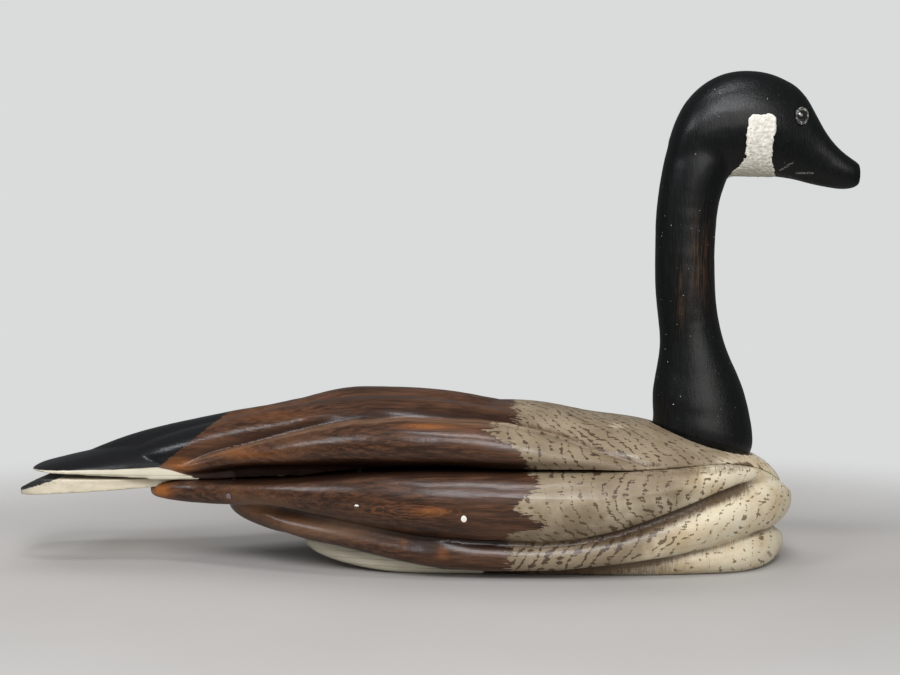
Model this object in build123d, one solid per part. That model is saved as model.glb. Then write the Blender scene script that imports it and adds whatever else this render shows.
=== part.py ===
from build123d import *

import os

# Hand-carved Canada goose decoy: two hollowed wooden blocks glued and nailed one on the other,
# a tail board let in between them, and a separate head and neck that stands on a loose dowel.
# Millimetres. +X runs to the bill, +Z is up, and the origin is on the ground under the middle.

# --- driving dimensions -----------------------------------------------------------------
BODY_FRONT = 256.0
BODY_HALF_WIDTH = 100.0
TAIL_TIP = -304.5
BILL_TIP = 303.5
SEAT = (190.0, 0.0, 82.6)          # middle of the round flat that the neck stands on
SEAT_TILT = 15.0                   # the flat dips this much towards the bill, in degrees
SEAT_RADIUS = 38.5
NECK_DOWEL_RADIUS = 9.5
NECK_DOWEL_GAP = 0.05              # running fit, so that the head turns and lifts off
NECK_DOWEL_CHAMFER = 1.5
NECK_DOWEL_IN_BODY = 42.0
NECK_DOWEL_IN_NECK = 40.0
BORE_RELIEF = 1.0                  # room left past each end of the neck dowel
TAIL_BOARD_BOTTOM = 52.0
TAIL_BOARD_TOP = 61.0
TAIL_SLOT_TOP = 65.0               # underside of the upper tail at its tip
TAIL_SLOT_END = 62.2               # and where the slot closes
TAIL_SLOT_REAR = -285.0
TAIL_SLOT_FRONT = -206.0
CAVITY_BOTTOM = 22.0
CAVITY_TOP = 92.0
CAVITY_LENGTH = 230.0
CAVITY_WIDTH = 84.0
CAVITY_MIDDLE = 25.0
SEAM_DOWEL_RADIUS = 5.0
TAIL_DOWEL_RADIUS = 3.0
TAIL_DOWEL_AT = (-172.0, 11.0)
TAIL_DOWEL_BOTTOM = 48.5
TAIL_DOWEL_TOP = 76.0
NAIL_SHANK_RADIUS = 1.25
NAIL_HEAD_RADIUS = 1.9
NAIL_HEAD_THICKNESS = 1.2
NAIL_SUNK = 4.0
NAIL_HOLE_REACH = 10.0             # the hole is cut this far outside the wood
EYE_AT = (257.8, 16.9, 319.0)
EYE_RADIUS = 4.0
EYE_TOE_IN = 14.0                  # each eye looks this much towards the bill
EYE_DEPTH = 6.0
EYE_DOME = 1.6
RING_HALF_WIDTH = 4.9
RING_HALF_HEIGHT = 6.2
RING_DEPTH = 4.0
RING_PROUD = 0.5
SOCKET_REACH = 20.0                # an eye's pocket is cut this far outside the head
OUTSIDE = 40.0                     # cutting solids reach this far past the wood

# Where the two blocks meet, seen from the side: (x, z).
SEAM = [(-145, TAIL_BOARD_TOP), (-88, 66), (-44, 71), (27, 73), (107, 73.5), (169, 75.3),
        (204, 74.5), (214, 72.6), (227, 68.7), (240, 61.2), (252, 51)]
SEAM_ENDS = [(1, 0), (0.7, -0.7)]   # the way the joint heads at its rear and front ends

# Each carved lobe is a run of sections: (x, y of its middle, z of its middle,
# half width, half height).
CROWN = [(-200, 0, 64, 26, 20), (-175, 0, 66, 29, 22), (-150, 0, 68, 33, 25), (-100, 0, 74, 50, 30),
         (-50, 0, 79, 63, 31), (0, 0, 80, 69, 32.5), (57, 0, 80, 69, 34.3),
         (100, 0, 76, 78, 32), (139, 0, 74, 82, 28), (154, 0, 74, 79, 25),
         (187, 0, 73, 66, 16), (204, 0, 71.5, 56, 12.8), (225, 0, 66, 40, 11.5),
         (240, 0, 59, 23, 9), (248.5, 0, 54, 6, 3)]
TAIL = [(-296, 0, 64.5, 13, 2), (-290, 0, 64.5, 23, 5), (-279, 0, 64.5, 30, 8),
        (-258, 0, 64.5, 34, 13), (-231, 0, 64.5, 36, 19), (-203, 0, 64, 37, 23.5),
        (-177, 0, 64, 36, 25.5), (-147, 0, 64, 34, 26), (-110, 0, 62, 32, 25)]
SPINE = [(-266, 0, 68, 8, 6), (-250, 0, 70, 13, 10.5), (-231, 0, 74, 17, 13.8),
         (-203, 0, 79.5, 19, 16.2), (-174, 0, 85, 21, 17), (-143, 0, 90, 23, 18.2),
         (-110, 0, 95, 25, 19), (-70, 0, 101, 28, 22.5), (-38, 0, 101, 30, 23.3),
         (-8, 0, 99.5, 30, 23.3), (22, 0, 95.8, 30, 23.2), (49, 0, 90.5, 29, 22.3),
         (72, 0, 84.5, 27, 21), (92, 0, 77, 24, 19)]
SHOULDER = [(-232, 13, 69, 11, 8.5), (-220, 14, 71.5, 14, 11), (-203, 16, 75.5, 17.5, 13.8),
            (-177, 18, 81, 20, 16), (-147, 20, 87, 22, 17.6), (-118, 23, 92.5, 24.5, 18.5),
            (-90, 26, 97, 27, 19),
            (-62, 30, 100, 30, 19.5), (-23, 34, 101, 33, 19.5), (28, 35, 95.5, 33, 19),
            (66, 38, 89, 31, 17), (90, 36, 80, 26, 14), (110, 32, 72, 18, 9)]
WING = [(-186, 31, 69, 5, 4), (-177, 31, 70, 8, 5.5), (-147, 34, 77, 13.5, 8.5),
        (-118, 42, 82, 17, 12), (-90, 49, 86, 20, 15), (-62, 55, 89, 22.5, 17.5),
        (-23, 61, 90.5, 24.5, 18.5), (28, 66, 89, 25, 17.7), (47, 67, 87, 25, 17),
        (66, 68, 84.5, 24, 15.5), (85, 69.5, 81.5, 22, 13), (103, 71, 78.5, 19, 10.5),
        (122, 72, 75.5, 15, 8), (139, 72, 73, 10, 5), (148, 71, 71, 5, 3)]
FLANK = [(-208, 0, 52.5, 20, 3.5), (-198, 0, 52.6, 33, 6), (-177, 0, 53, 41, 8.2),
         (-146, 0, 54, 55, 8.5), (-122, 0, 55.7, 66, 9.5), (-99, 0, 55.5, 75, 12),
         (-66, 0, 54.6, 85, 17), (-38, 0, 53.4, 91, 20.5), (-11, 0, 51.3, 95, 23),
         (23, 0, 50.2, 98, 24.5), (69, 0, 49.4, BODY_HALF_WIDTH, 25), (93, 0, 50.4, 99.5, 24.5),
         (121, 0, 53.6, 97, 22.5), (151, 0, 59.3, 92, 18), (169, 0, 62.7, 87, 15),
         (187, 0, 66, 79, 11.5), (206, 0, 67.5, 66, 8), (220, 0, 66, 53, 5.5), (232, 0, 62.3, 40, 4.3),
         (242, 0, 57.5, 24, 3.2)]
BREAST = [(-152, 0, 44, 20, 3.5), (-145, 0, 42.3, 32, 7.5), (-131, 0, 39.8, 44, 9.7),
          (-112, 0, 36.5, 54, 11), (-73, 0, 31.2, 69, 11.3), (-27, 0, 22.7, 80, 11.7),
          (2, 0, 18.3, 85, 12.5), (40, 0, 16.3, 88, 12), (82, 0, 16.9, 89, 11.8),
          (122, 0, 21.9, 88.5, 13.5), (153, 0, 29, 86, 17), (189, 0, 38.8, 79, 20.5),
          (208, 0, 43, 71, 20.5), (226, 0, 44.5, 58, 19), (240, 0, 44.5, 42, 15.5),
          (250, 0, 44.3, 25, 10.5), (BODY_FRONT, 0, 44, 8, 4)]
BELLY = [(-96, 0, 18.5, 30, 3), (-89, 0, 16.8, 42, 5.8), (-78, 0, 14.8, 50, 7.8),
         (-60, 0, 12, 58, 8.8), (-38, 0, 10, 65, 9.3), (-14, 0, 9, 68, 9.6), (18, 0, 8.5, 71, 9.4),
         (50, 0, 8, 73, 9), (86, 0, 8.5, 74, 9.4), (122, 0, 9, 74.5, 10),
         (153, 0, 10.5, 74, 11.5), (189, 0, 13, 71, 14), (208, 0, 14, 66, 15),
         (222, 0, 14.3, 57, 14.8), (234, 0, 14, 43, 13), (243, 0, 13.5, 27, 9.5),
         (250, 0, 13.5, 8, 3.5)]
HEAD = [(166, 0, 291, 9, 13), (173, 0, 297, 17, 25.2), (181.4, 0, 305, 21, 30.1),
        (194, 0, 311.4, 23.5, 34.4), (206, 0, 314.3, 24.5, 36.7), (221, 0, 315.3, 25, 37.7),
        (236, 0, 314.4, 23.5, 37), (249, 0, 311.4, 20, 35.2), (259.5, 0, 307, 16.5, 32.8),
        (266.5, 0, 301.7, 14.3, 29.3), (274.5, 0, 293.6, 12.5, 23), (282.5, 0, 286.7, 11.5, 17.6),
        (292.5, 0, 281, 10.5, 13), (299.5, 0, 279, 8.8, 10), (BILL_TIP, 0, 278.6, 6, 7)]
# The neck's sections climb its own axis: (x, z, half length, half width, lean in degrees).
NECK = [(SEAT[0], SEAT[2], 33.5, 25, SEAT_TILT), (191.2, 86.9, 37, 28, 14), (192, 92, 37, 28.5, 12),
        (191.6, 101, 36, 27.5, 8), (189.8, 114.6, 34.4, 26, 4), (188, 129.2, 31, 23.5, 2),
        (185.8, 143, 26.6, 21.5, 0), (184, 155.4, 23.5, 20, 0), (181.2, 172, 21.9, 19, 0),
        (178.6, 195, 21.5, 18.8, 0), (178, 220, 21.5, 19, 0), (178.6, 243, 21.8, 19.3, 0),
        (181.2, 264, 22.6, 20, 0), (185.8, 281, 24.6, 21, 0), (190, 296, 25.6, 20.5, 0),
        (197, 312, 24.5, 18, 0), (205, 328, 19, 13, 0)]
# The tail board, from its tip to its hidden end: its plan as (x, half width), and its side
# view, in which the tip droops, as (x, z) round the outline.
TAIL_BOARD = [(TAIL_TIP, 9), (-301, 19), (-293, 27), (-279, 32), (-240, 34), (-212, 30), (-150, 20)]
TAIL_BOARD_SIDE = [(TAIL_TIP - 1, 47.5), (-278, 50.2), (-200, TAIL_BOARD_BOTTOM + 3),
                   (-149, TAIL_BOARD_BOTTOM + 3), (-149, TAIL_BOARD_TOP), (-284, TAIL_BOARD_TOP),
                   (TAIL_TIP - 1, 51.5)]
# Side nails: (x, y and z of the hole in the flank, angle at which the nail climbs, its length).
NAILS = [(16.5, 97.4, 43.5, 37, 56), (-55.3, 86.9, 50, 32, 44), (-146.5, 54.4, 52.3, 19, 38)]
# Pegs across the glued joint, one of each on both sides: (x, y, bottom, top).
SEAM_DOWELS = [(-112, 22, 48, 80), (160, 40, 60, 88)]


def lobe(sections, outline=Ellipse, side=1):
    """One carved lobe: a smooth loft through its upright sections."""
    rings = []
    for x, y, z, half_width, half_height in sections:
        rings.append(Plane.YZ.offset(x) * Pos(side * y, z, 0) * outline(half_width, half_height))
    return loft(rings)


def roll(half_width, half_height):
    """Section of a lower lobe: flat above and below, with a half-round side."""
    return SlotOverall(2 * half_width, 2 * half_height)


def seat_place(height=0.0):
    """A place on the neck's axis, that far above the seat, with its z along the axis."""
    return Location(SEAT) * Rot(0, SEAT_TILT, 0) * Pos(0, 0, height)


def upright(radius, x, y, bottom, top):
    """A round peg that stands upright."""
    return Pos(x, y, (bottom + top) / 2) * Cylinder(radius, top - bottom)


def below_seam():
    """Everything under the joint between the blocks: level at the tail, then a long curve."""
    line = Spline(*[Vector(x, 0, z) for x, z in SEAM], tangents=[(x, 0, z) for x, z in SEAM_ENDS])
    rear, front, deep = TAIL_TIP - OUTSIDE, BODY_FRONT + OUTSIDE, -OUTSIDE
    rest = Polyline((SEAM[-1][0], 0, SEAM[-1][1]), (front, 0, SEAM[-1][1]), (front, 0, deep),
                    (rear, 0, deep), (rear, 0, SEAM[0][1]), (SEAM[0][0], 0, SEAM[0][1]))
    return extrude(make_face(Wire([*line.edges(), *rest.edges()])), BODY_HALF_WIDTH + OUTSIDE, both=True)


def cavity(bottom, top):
    """The hollow inside the blocks, which leaves thick walls all round."""
    plan = Pos(CAVITY_MIDDLE, 0, 0) * SlotOverall(CAVITY_LENGTH, CAVITY_WIDTH)
    return Pos(0, 0, bottom) * extrude(plan, top - bottom)


def neck_bore():
    radius = NECK_DOWEL_RADIUS + NECK_DOWEL_GAP
    deep = NECK_DOWEL_IN_BODY + BORE_RELIEF
    long = deep + NECK_DOWEL_IN_NECK + BORE_RELIEF
    return seat_place(long / 2 - deep) * Cylinder(radius, long)


def neck_dowel():
    long = NECK_DOWEL_IN_BODY + NECK_DOWEL_IN_NECK
    peg = Cylinder(NECK_DOWEL_RADIUS, long)
    peg = chamfer(peg.edges().filter_by(GeomType.CIRCLE), NECK_DOWEL_CHAMFER)
    return seat_place(long / 2 - NECK_DOWEL_IN_BODY) * peg


def seam_dowels():
    pegs = []
    for x, y, bottom, top in SEAM_DOWELS:
        for side in (-1, 1):
            pegs.append(upright(SEAM_DOWEL_RADIUS, x, side * y, bottom, top))
    return pegs


def tail_dowels():
    x, y = TAIL_DOWEL_AT
    return [upright(TAIL_DOWEL_RADIUS, x, side * y, TAIL_DOWEL_BOTTOM, TAIL_DOWEL_TOP)
            for side in (-1, 1)]


def nail_places():
    """For each nail, the place of its hole in the flank with z along the shank, and its length."""
    for x, y, z, slope, length in NAILS:
        for side in (-1, 1):
            yield Location((x, side * y, z)) * Rot(side * (90 - slope), 0, 0), length


def seam_nails():
    nails = []
    for place, length in nail_places():
        head = place * Pos(0, 0, NAIL_SUNK + NAIL_HEAD_THICKNESS / 2) * Cylinder(
            NAIL_HEAD_RADIUS, NAIL_HEAD_THICKNESS)
        shank = place * Pos(0, 0, NAIL_SUNK + length / 2) * Cylinder(NAIL_SHANK_RADIUS, length)
        nails.append(head + shank)
    return nails


def countersink(depth):
    """The wide mouth of a nail hole: it starts outside the wood and goes in that deep."""
    long = NAIL_HOLE_REACH + depth
    return Pos(0, 0, depth - long / 2) * Cylinder(NAIL_HEAD_RADIUS, long)


def nail_holes():
    holes = []
    for place, length in nail_places():
        holes.append(place * countersink(NAIL_SUNK + NAIL_HEAD_THICKNESS))
        holes.append(place * Pos(0, 0, NAIL_SUNK + length / 2) * Cylinder(NAIL_SHANK_RADIUS, length))
    return holes


def nail_putty(flank):
    return [(place * countersink(NAIL_SUNK)) & flank for place, _ in nail_places()]


def tail_board():
    """The lower tail: a flat board with a rounded, drooping tip, let in between the blocks."""
    near = [Vector(x, half, 0) for x, half in TAIL_BOARD]
    far = [Vector(x, -half, 0) for x, half in reversed(TAIL_BOARD)]
    edges = [Spline(*near), Line(near[-1], far[0]), Spline(*far), Line(far[-1], near[0])]
    plan = make_face(Wire([edge for curve in edges for edge in curve.edges()]))
    side = make_face(Polyline(*[(x, 0, z) for x, z in TAIL_BOARD_SIDE], close=True).edges())
    return extrude(plan, TAIL_SLOT_TOP + OUTSIDE) & extrude(side, BODY_HALF_WIDTH, both=True)


def tail_slot():
    """The wedge of air between the upper tail and the board under it, and all below."""
    rear = TAIL_TIP - OUTSIDE
    outline = [(rear, 0, 0), (rear, 0, TAIL_SLOT_TOP), (TAIL_SLOT_REAR, 0, TAIL_SLOT_TOP),
               (TAIL_SLOT_FRONT, 0, TAIL_SLOT_END), (TAIL_SLOT_FRONT, 0, 0)]
    side = make_face(Polyline(*outline, close=True).edges())
    return extrude(side, BODY_HALF_WIDTH, both=True)


def neck():
    rings = []
    for x, z, half_length, half_width, lean in NECK:
        rings.append(Location((x, 0, z)) * Rot(0, lean, 0) * Ellipse(half_length, half_width))
    return loft(rings)


def eye_place(side):
    """The eye's own place: z points out of the head."""
    x, y, z = EYE_AT
    return Location((x, side * y, z)) * Rot(0, 0, side * -EYE_TOE_IN) * Rot(-side * 90, 0, 0)


def eye(side):
    stem = Pos(0, 0, -EYE_DEPTH / 2) * Cylinder(EYE_RADIUS, EYE_DEPTH)
    ball = (EYE_RADIUS ** 2 + EYE_DOME ** 2) / (2 * EYE_DOME)
    dome = (Pos(0, 0, EYE_DOME - ball) * Sphere(ball)) & (
        Pos(0, 0, EYE_DOME / 2) * Cylinder(EYE_RADIUS, EYE_DOME))
    return eye_place(side) * (stem + dome)


def eye_ring(side):
    """The rim of putty and paint round an eye."""
    rim = extrude(Ellipse(RING_HALF_WIDTH, RING_HALF_HEIGHT), RING_DEPTH + RING_PROUD)
    return eye_place(side) * Pos(0, 0, -RING_DEPTH) * (rim - Cylinder(EYE_RADIUS, 4 * RING_DEPTH))


def eye_socket(side):
    """The stepped pocket in the head that takes an eye and its rim, open to the outside."""
    rim = Ellipse(RING_HALF_WIDTH, RING_HALF_HEIGHT)
    wide = Pos(0, 0, -RING_DEPTH) * extrude(rim, SOCKET_REACH)
    deep = Pos(0, 0, SOCKET_REACH / 2 - EYE_DEPTH) * Cylinder(EYE_RADIUS, SOCKET_REACH)
    return eye_place(side) * (wide + deep)


def upper_wood():
    """Everything above the seam as one lump: crown, spine, shoulders, wings and upper tail."""
    wood = lobe(CROWN) + lobe(TAIL) + lobe(SPINE)
    for side in (1, -1):
        wood += lobe(SHOULDER, side=side)
        wood += lobe(WING, side=side)
    return wood


def lower_wood():
    """Everything below the seam as one lump: three rolls laid one over the other."""
    return lobe(FLANK, roll) + lobe(BREAST, roll) + lobe(BELLY, roll)


def pegs_and_nails():
    """Every hole shared by the two blocks, as one list of solids to take away."""
    return [neck_bore(), *seam_dowels(), *tail_dowels(), *nail_holes()]


def back_block():
    seat = seat_place(OUTSIDE / 2) * Cylinder(SEAT_RADIUS, OUTSIDE)
    wood = upper_wood() - below_seam() - tail_slot() - seat
    wood -= cavity(CAVITY_BOTTOM, CAVITY_TOP)
    for hole in pegs_and_nails():
        wood -= hole
    return wood


def breast_block():
    ground = Pos(0, 0, -OUTSIDE / 2) * Box(2 * (BODY_FRONT + OUTSIDE), 3 * BODY_HALF_WIDTH, OUTSIDE)
    wood = lower_wood() & below_seam()
    wood = wood - ground - cavity(CAVITY_BOTTOM, CAVITY_TOP) - tail_board()
    for hole in pegs_and_nails():
        wood -= hole
    return wood


def head_and_neck():
    wood = neck() + lobe(HEAD)
    wood -= neck_bore()
    for side in (1, -1):
        wood -= eye_socket(side)
    return wood


os.makedirs("parts", exist_ok=True)
board = tail_board()
for peg in tail_dowels():
    board -= peg
nodes = {
    "back_block": back_block(),
    "breast_block": breast_block(),
    "lower_tail_board": board,
    "head_and_neck": head_and_neck(),
    "neck_dowel": neck_dowel(),
    "eye_left": eye(1),
    "eye_right": eye(-1),
    "eye_ring_left": eye_ring(1),
    "eye_ring_right": eye_ring(-1),
    "seam_dowels": Compound(seam_dowels()),
    "tail_dowels": Compound(tail_dowels()),
    "seam_nails": Compound(seam_nails()),
    "nail_putty": Compound(nail_putty(lobe(FLANK, roll))),
}
for name, shape in nodes.items():
    export_step(shape, f"parts/{name}.step")
    print(name, round(shape.volume), len(shape.solids()), shape.is_valid)
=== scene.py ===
import math

import bpy
import numpy as np
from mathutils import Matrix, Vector

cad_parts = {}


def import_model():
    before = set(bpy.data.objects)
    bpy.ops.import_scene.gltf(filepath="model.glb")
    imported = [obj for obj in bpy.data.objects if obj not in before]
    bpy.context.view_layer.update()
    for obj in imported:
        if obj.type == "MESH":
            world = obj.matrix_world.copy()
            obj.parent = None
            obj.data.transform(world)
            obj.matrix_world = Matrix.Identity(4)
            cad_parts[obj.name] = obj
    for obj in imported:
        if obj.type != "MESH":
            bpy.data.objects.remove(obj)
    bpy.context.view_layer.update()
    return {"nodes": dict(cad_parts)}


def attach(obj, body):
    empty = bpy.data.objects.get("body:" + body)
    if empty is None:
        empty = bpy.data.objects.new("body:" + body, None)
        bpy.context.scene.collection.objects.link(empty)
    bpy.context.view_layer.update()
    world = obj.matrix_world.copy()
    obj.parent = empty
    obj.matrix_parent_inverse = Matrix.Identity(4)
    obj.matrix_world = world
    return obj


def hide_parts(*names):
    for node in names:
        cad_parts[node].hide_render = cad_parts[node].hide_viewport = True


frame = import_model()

# Looks for the wooden goose decoy. Lengths on the object are millimetres until MM turns them into
# the frame's metres; the camera and the lights are placed in metres. Each pair in a line or an
# outline is (x, z) from the side, unless its comment says otherwise.
MM = 0.001

# --- how fine each carved piece's mesh is -------------------------------------------------
BODY_VOXEL, BODY_TRIANGLES = 1.1, 185000
HEAD_VOXEL, HEAD_TRIANGLES = 0.8, 160000
TAIL_VOXEL, TAIL_TRIANGLES = 0.8, 90000
# Rounds of averaging where a joint is softened, after the carving, and to find the creases.
SOFTEN_ROUNDS, SETTLE_ROUNDS, CREASE_ROUNDS = 120, 2, 24

# --- the carving's lines, seen from the side ---------------------------------------------
SEAM_LINE = [(-205, 61), (-145, 61), (-88, 66), (-44, 71), (27, 73), (107, 73.5)]
BREAST_LINE = [(-197, 47.4), (-122, 48.9), (-99, 46), (-66, 40.2), (-38, 35), (-11, 30.3),
               (23, 27.5), (69, 25.9), (93, 27.7), (121, 33.5), (151, 43.8), (169, 50.1),
               (187, 56.9), (206, 61.8), (218, 63.6)]
BELLY_LINE = [(-143, 46), (-133, 34.2), (-112, 27.8), (-90, 22), (-73, 19.9), (-50, 15.6), (-27, 11.3),
              (2, 6.2), (40, 4.8), (82, 5.8), (122, 9.9), (153, 13.6), (189, 20), (208, 24.7),
              (223, 27.5), (241, 26.8)]
WING_LINE = [(-177, 75.1), (-147, 84.2), (-118, 92.6), (-90, 100.3), (-62, 105.9), (-23.5, 109.2),
             (28, 106.5), (47, 104), (66, 99.4), (85, 94.6), (103, 88), (122, 82.6), (139, 76.8)]

# The blunt edge that runs along the flank.
FLANK_EDGE = [(20, 60.5), (60, 58), (100, 57.5), (140, 60), (180, 66)]
# Top of the dark recess between the wing and the flank.
RECESS_TOP = [(-200, 64), (-180, 66), (-147, 72), (-118, 74.5), (-90, 77), (-62, 79), (60, 80.5)]
# Top of the cream strip under the black of the upper tail.
CREAM_TOP = [(-300, 66.2), (-230, 68.4), (-200, 70), (-190, 68), (-180, 65), (-168, 62), (-160, 56)]
ROW_SPACING = 8.2                  # from one row of ticks to the next

# Where the pale paint begins on each lobe: an x, or (z, x) pairs from the bottom up.
PALE_FROM_WING = [(74, 62), (81, 58), (91, 51), (97, 38), (102, 33), (107, 40)]
PALE_FROM_FLANK = [(28, 45), (34, 50), (40, 70), (46, 60), (53, 50), (61, 60), (68, 68), (76, 58)]
PALE_FROM_SHOULDER = 54
PALE_FROM_BREAST = 48
PALE_FROM_BELLY = 62

# Chin patch, from its front top corner round to the throat.
CHIN_PATCH = [(235, 319.4), (237.8, 316.5), (238.2, 311), (236.4, 297), (236.4, 288), (240.5, 280),
              (244.5, 274), (244, 262), (206, 262), (208, 276), (216.8, 287), (217.8, 298.5),
              (217.2, 308), (218.4, 316.5), (221.5, 319.2)]
# Behind this x at the throat's height the patch stops; it leans back as it goes up.
CHIN_REAR, CHIN_REAR_LEAN, THROAT = 203, 0.9, 276

# Scratches on the bill: x and z of one end, then of the other.
SCRATCHES = [(244.5, 281, 252.5, 286), (256.5, 279, 268, 279)]

# --- soft spots, seen from the side: (amount, x, z, half length, half height, power) -------
NECK_BEND = [(1, 190, 292, 30, 26, 4)]
NECK_WORN = [(1, 186, 215, 7, 26)]
NECK_WORN_BEHIND = [(0.8, 172, 190, 3, 20)]
CREAM_ON_BACK = [(0.4, 122, 100, 26, 4)]
TICKS_ON_BACK = [(0.45, 105, 90, 34, 12)]
TICKS_ON_BREAST = [(0.9, 150, 38, 18, 14), (0.9, 85, 18, 34, 12), (0.8, 125, 30, 24, 12)]
OCHRE_ON_BACK = [(0.5, -8, 104, 16, 1.6), (0.35, -140, 82, 26, 4), (0.55, -183, 72, 12, 5),
                 (0.15, -110, 107, 40, 4)]
OCHRE_ON_BREAST = [(0.55, -6, 49, 10, 2.4), (1.0, -200, 52, 9, 8), (0.35, -24, 29, 3, 6),
                   (0.35, 2, 20, 4, 5), (0.4, -134, 42, 10, 5)]
# Lighter streaked wood: the first spot is a painted sheen on the breast roll, the second is wear on the
# flank's rear tip.
WEAR_AND_SHEEN_ON_BREAST = [(0.7, -72, 33, 30, 7), (0.8, -128, 44, 16, 6)]
SHADE_UNDER_BREAST = [(0.5, 95, 4, 55, 12, 4), (0.35, 150, 7, 36, 7)]
DARK_PATCH = [(0.6, -10, 26, 11, 11, 4)]
NOWHERE = -50                      # a signed distance that is far outside any paint


def srgb(red, green, blue):
    """A colour given as it looks on a screen, 0 to 255, as the linear one that shaders take."""
    def linear(value):
        value /= 255
        return value / 12.92 if value <= 0.04045 else ((value + 0.055) / 1.055) ** 2.4
    return (linear(red), linear(green), linear(blue), 1.0)


# --- colours ------------------------------------------------------------------------------
WOOD_DARK, WOOD_LIGHT = srgb(42, 26, 17), srgb(80, 53, 37)
WOOD_RING = srgb(42, 25, 16)
WOOD_CLOUD = srgb(94, 63, 43)
WOOD_FIGURE = srgb(112, 66, 36)
WOOD_FIBRE = srgb(36, 22, 15)
WOOD_OCHRE = srgb(146, 88, 40)
# Painted shade in the recess, in the creases and under the flank; the same colour also darkens a knot
# on the breast roll.
WOOD_SHADE_AND_KNOT = srgb(32, 18, 12)
# Lighter streaked wood: a painted highlight along the wing's rim, a painted sheen on the breast roll,
# and wear.
WOOD_WORN_AND_SHEEN = srgb(128, 99, 77)
TAUPE_DARK, TAUPE_LIGHT = srgb(113, 99, 79), srgb(131, 117, 96)
CREAM_DARK, CREAM_LIGHT = srgb(180, 162, 132), srgb(198, 188, 164)
BRUSH_MARK = srgb(160, 146, 121)
# Brown painted shade in the creases and under the rolls, laid where the decoy also has airbrushed
# brown.
SHADE_BROWN = srgb(76, 58, 41)
TICK_ON_TAUPE, TICK_ON_CREAM = srgb(54, 38, 26), srgb(98, 80, 56)
# Painted shadow deep in the creases.
DEEP_CREASE_SHADOW = srgb(26, 16, 12)
BELLY_DARK, BELLY_LIGHT = srgb(176, 169, 149), srgb(198, 191, 172)
BELLY_GROOVE = srgb(92, 86, 68)
UPPER_TAIL_BLACK, LOWER_TAIL_BLACK = srgb(19, 19, 20), srgb(30, 29, 29)
TAIL_DARK, TAIL_LIGHT = srgb(180, 169, 146), srgb(202, 192, 170)
TAIL_DIRT = srgb(92, 74, 52)
HEAD_DARK, HEAD_LIGHT = srgb(6, 7, 7), srgb(13, 14, 14)
HEAD_WORN = srgb(62, 42, 24)
HEAD_FLECK, HEAD_SCRATCH = srgb(170, 172, 168), srgb(128, 128, 120)
CHIN_DARK, CHIN_LIGHT = srgb(184, 179, 166), srgb(222, 218, 208)
# The second colour is painted shade on the lower part of the chin patch.
CHIN_PIT, CHIN_IN_SHADE = srgb(120, 108, 88), srgb(178, 170, 148)
DOWEL_DARK, DOWEL_LIGHT = srgb(176, 134, 86), srgb(216, 180, 128)
STEEL, RUST = srgb(138, 134, 128), srgb(104, 72, 50)
PUTTY_DARK, PUTTY_LIGHT = srgb(214, 206, 198), srgb(244, 240, 232)
PUTTY_STAINED, PUTTY_GLAZED = srgb(74, 50, 36), srgb(104, 88, 90)
EYE_DARK, EYE_BROWN = srgb(12, 11, 11), srgb(34, 27, 22)
RIM_DARK, RIM_SILVER = srgb(34, 34, 33), srgb(128, 127, 121)
PAPER_DARK, PAPER_LIGHT = srgb(156, 153, 149), srgb(163, 160, 156)
BACKGROUND = srgb(218, 219, 219)

# --- camera and studio, in metres and watts -----------------------------------------------
CAMERA_PLACE = (0.0073, -1.020, 0.213)
CAMERA_DOWN = 2.965                # degrees below level
CAMERA_LENS, CAMERA_SENSOR = 56, 36
# Each lamp: name, place, target, size, power, colour, whether it shows in gloss.
LAMPS = [
    ("key", (0.8, -2.3, 0.95), (0, 0, 0.1), (1.8, 1.4), 26, (1.0, 0.98, 0.95), True),
    ("window", (0.05, -1.40, 1.28), (0, 0, 0.1), (0.7, 0.7), 21, (0.95, 0.96, 1.0), True),
    ("side", (-1.15, -0.95, 1.15), (0, 0, 0.15), (0.5, 0.5), 9, (0.93, 0.96, 1.0), True),
    ("ceiling", (-0.03, -0.60, 1.80), (0, 0, 0.2), (0.5, 0.3), 9, (0.96, 0.97, 1.0), True),
    ("backdrop", (-0.6, 0.9, 1.9), (-0.1, 0.1, 0), (2.0, 1.2), 18, (1, 1, 1), False),
]
AIR_TINT = (0.95, 0.97, 1.0, 1.0)
AIR_IN_GLOSS, AIR_ON_MATT = 0.14, 0.40
FLOOR_HALF = 3.0
FLOOR_FADES_FROM, FLOOR_FADES_TO = 240, 620     # millimetres from the middle
FLOOR_WIDENING = 0.75              # the floor's pale round is this much longer than it is deep


# --- arrays of points ---------------------------------------------------------------------
def smooth_step(value, low, high):
    t = np.clip((value - low) / (high - low), 0, 1)
    return t * t * (3 - 2 * t)


def height_of(line, x):
    """Height of a side-view line over x."""
    xs, zs = zip(*line)
    return np.interp(x, xs, zs)


def along(line, z):
    """The x of a boundary given as (z, x) points."""
    return height_of(line, z)


def blob(p, x, z, half_length, half_height, power=2):
    """A soft spot seen from the side: 1 in the middle, 0 outside."""
    reach = (np.abs(p[:, 0] - x) / half_length) ** power + (np.abs(p[:, 2] - z) / half_height) ** power
    return np.exp(-reach)


def spots(p, rows):
    """The sum of several soft spots, each multiplied by its amount."""
    return sum(amount * blob(p, *shape) for amount, *shape in rows)


def swell(p, rng, longest, shortest, count=9, spread=(0.35, 1, 1)):
    """Gentle uneven waves over the surface, about -1 to 1, from a few random sines. They run
    mostly along an axis whose spread is small."""
    total = np.zeros(len(p))
    for _ in range(count):
        direction = rng.normal(size=3) * spread
        direction /= np.linalg.norm(direction)
        wave = rng.uniform(shortest, longest)
        total += np.sin(p @ direction * (2 * math.pi / wave) + rng.uniform(0, 2 * math.pi))
    return total / math.sqrt(count)


def distance_to_stroke(x, z, x0, z0, dx, dz):
    """Distance to the straight stroke from (x0, z0) that runs by (dx, dz)."""
    t = np.clip(((x - x0) * dx + (z - z0) * dz) / (dx * dx + dz * dz), 0, 1)
    return np.hypot(x - x0 - t * dx, z - z0 - t * dz)


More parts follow.
